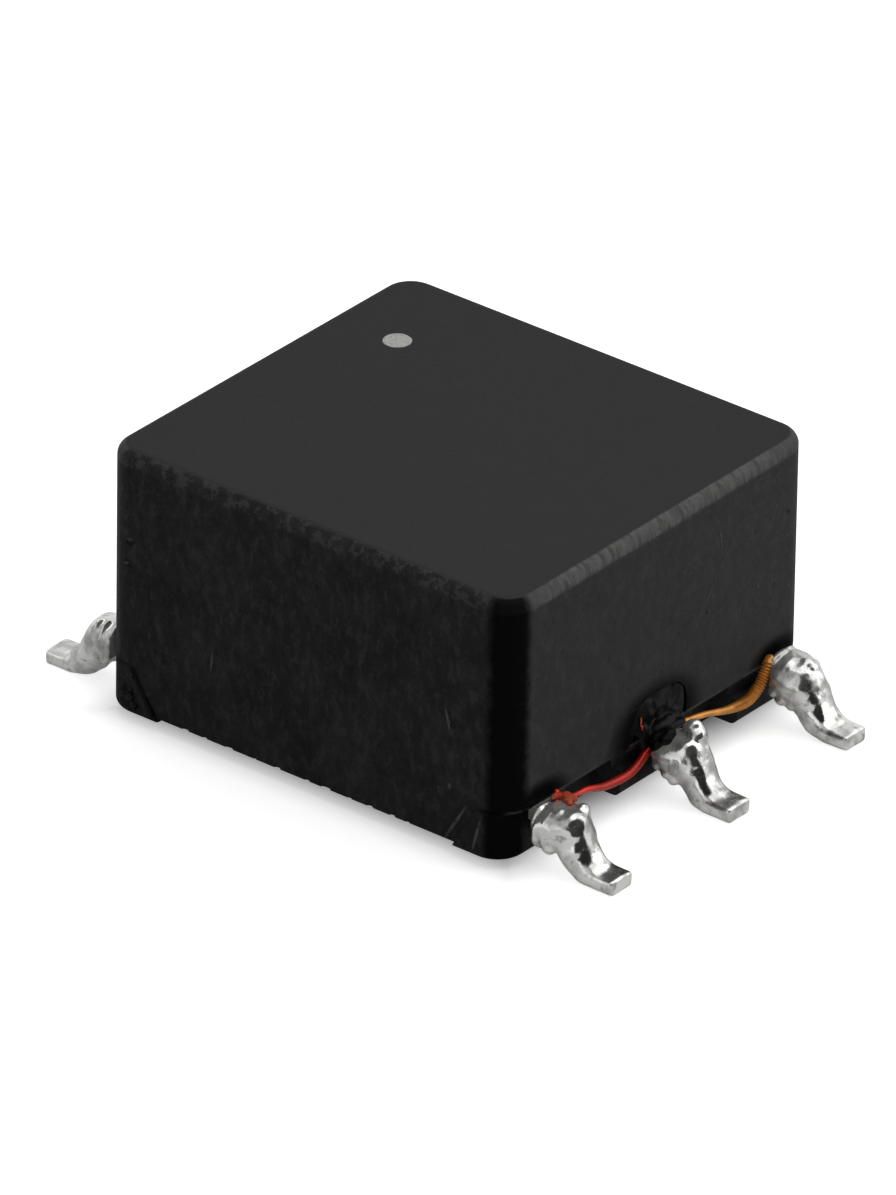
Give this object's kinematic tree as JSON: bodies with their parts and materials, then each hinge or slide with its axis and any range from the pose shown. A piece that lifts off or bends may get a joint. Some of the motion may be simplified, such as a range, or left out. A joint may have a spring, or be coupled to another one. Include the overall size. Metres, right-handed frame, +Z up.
{
  "type": "pcb transformer",
  "caption": "Small surface-mount transformer: wound ferrite ring in a black moulded housing, with wires wrapped and soldered on gull-wing terminals.",
  "frame": {"origin": "on the board surface, under the middle of the housing", "axes": "+X across the two rows of terminals, +Y along a row, +Z up from the board"},
  "size_m": [0.0098, 0.0066, 0.0041],
  "materials": {
    "housing": "moulded, slightly worn",
    "ferrite": "sintered, semi-matte",
    "adhesive": "cured silicone",
    "wire_red": "glossy enamel",
    "wire_copper": "glossy clear enamel",
    "wire_brown": "glossy clear enamel",
    "wire_green": "glossy enamel",
    "tinned_strip": "tinned",
    "solder": "bright and lumpy"
  },
  "bodies": {
    "root": {"housing": "housing", "core": "ferrite", "adhesive": "adhesive", "primary_winding_a": "wire_brown", "primary_winding_b": "wire_green", "secondary_winding_a": "wire_red", "secondary_winding_b": "wire_copper", "terminal_1": "tinned_strip", "terminal_2": "tinned_strip", "terminal_3": "tinned_strip", "terminal_4": "tinned_strip", "terminal_5": "tinned_strip", "terminal_6": "tinned_strip", "solder_1": "solder", "solder_2": "solder", "solder_3": "solder", "solder_4": "solder", "solder_5": "solder", "solder_6": "solder"}
  },
  "joints": []
}
